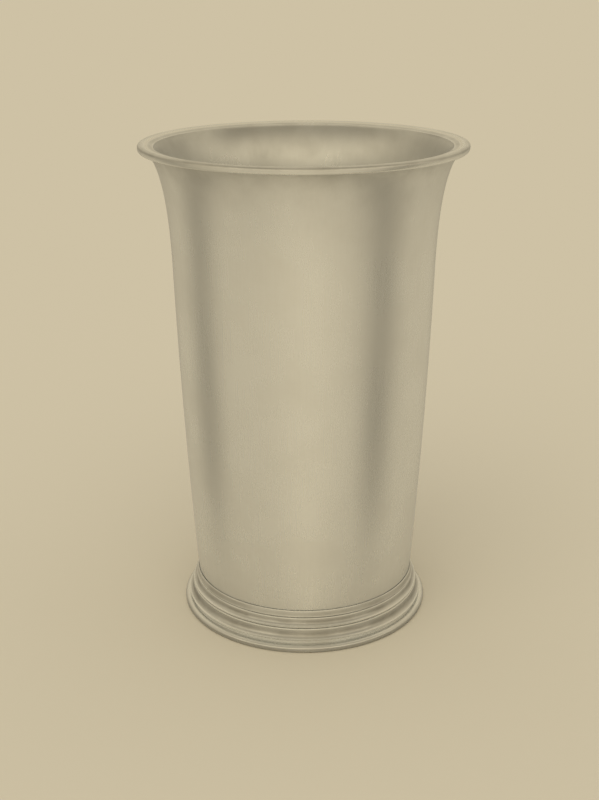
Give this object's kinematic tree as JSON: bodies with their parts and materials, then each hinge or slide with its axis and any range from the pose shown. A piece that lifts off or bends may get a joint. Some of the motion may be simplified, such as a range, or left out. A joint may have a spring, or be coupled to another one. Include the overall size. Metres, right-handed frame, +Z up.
{
  "type": "silver beaker",
  "caption": "Tapered silver drinking beaker with a flared lip, a half-round rim wire, a let-in bottom and a moulded foot of stepped rings.",
  "frame": {"origin": "centre of the flat ring that the beaker stands on", "axes": "+Z up along the beaker's axis; -Y towards the viewer of the picture; +X to the right, where the wall's upright seam is"},
  "size_m": [0.083, 0.083, 0.127],
  "materials": {
    "satin_silver": "satin hand-polished silver sheet",
    "drawn_silver": "drawn silver wire and strip, brighter on its worn edges",
    "silver_solder": "dull silver solder"
  },
  "bodies": {
    "root": {"body_wall": "satin_silver", "body_seam_solder": "silver_solder", "lip_moulding": "drawn_silver", "lip_solder": "silver_solder", "bottom_disc": "satin_silver", "bottom_solder": "silver_solder", "collar_band": "drawn_silver", "upper_foot_band": "drawn_silver", "lower_foot_band": "drawn_silver", "foot_solder": "silver_solder", "stand_wire": "drawn_silver", "stand_wire_solder": "silver_solder"}
  },
  "joints": []
}
